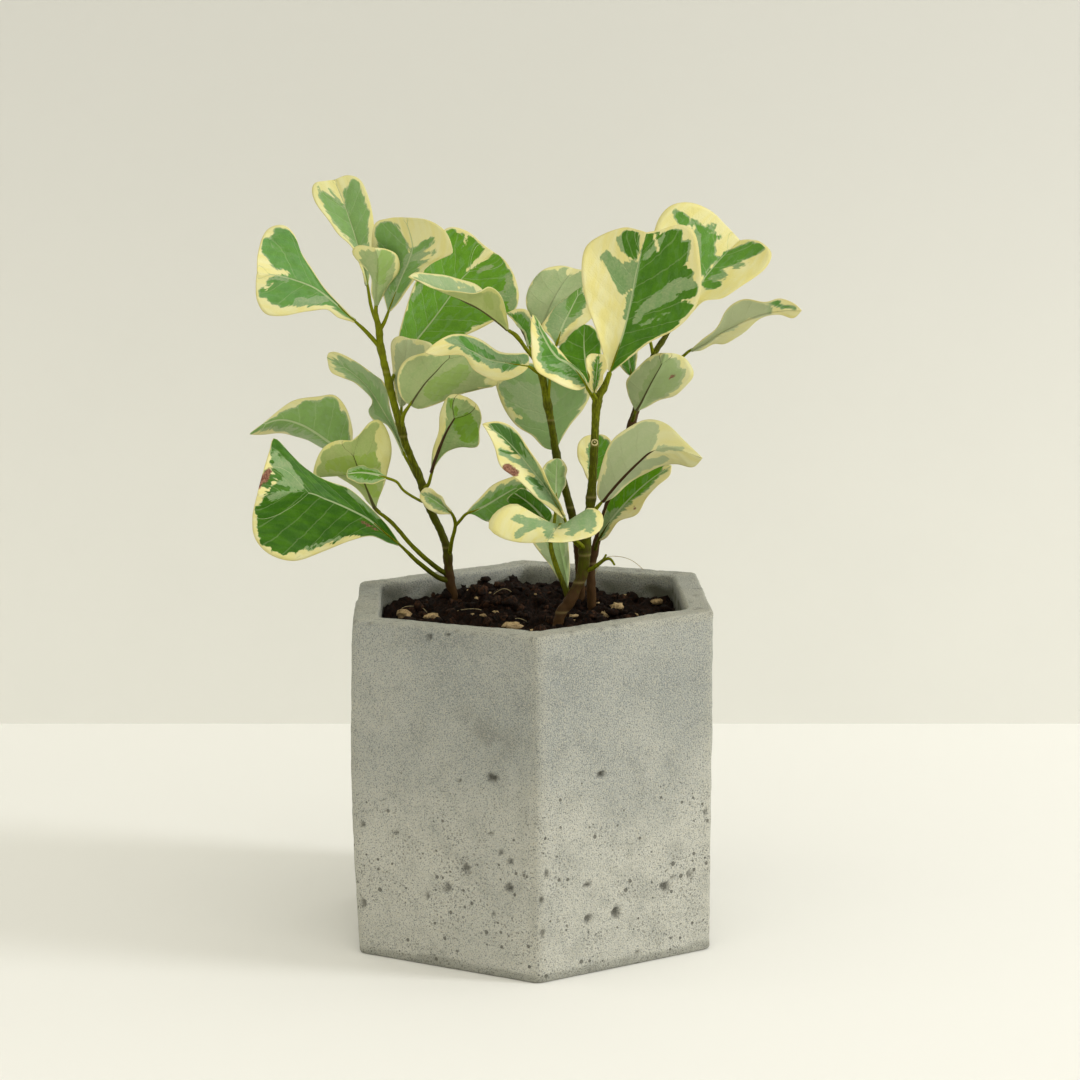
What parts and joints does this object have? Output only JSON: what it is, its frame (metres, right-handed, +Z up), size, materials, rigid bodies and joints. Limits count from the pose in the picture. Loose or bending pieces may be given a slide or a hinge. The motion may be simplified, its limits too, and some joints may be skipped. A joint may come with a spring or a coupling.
{
  "type": "potted triangle fig",
  "caption": "Small variegated triangle fig with curled wedge-shaped leaves on slender stems, in a hexagonal concrete planter of dark soil.",
  "frame": {"origin": "centre of the planter's underside, on the table", "axes": "+Z up, -Y towards the viewer and the planter's front corner, +X to the viewer's right"},
  "size_m": [0.1607, 0.1148, 0.2159],
  "materials": {
    "concrete": "cast, matte, pitted with pinholes",
    "potting_soil": "moist, crumbly, with tan chips",
    "variegated_leaves": "satin leaves, green and sage with cream margins, on olive to brown stems"
  },
  "bodies": {
    "root": {"pot": "concrete", "soil": "potting_soil", "leafy_stem_left": "variegated_leaves", "leafy_stem_middle": "variegated_leaves", "leafy_stem_front": "variegated_leaves", "leafy_stem_right": "variegated_leaves"}
  },
  "joints": []
}
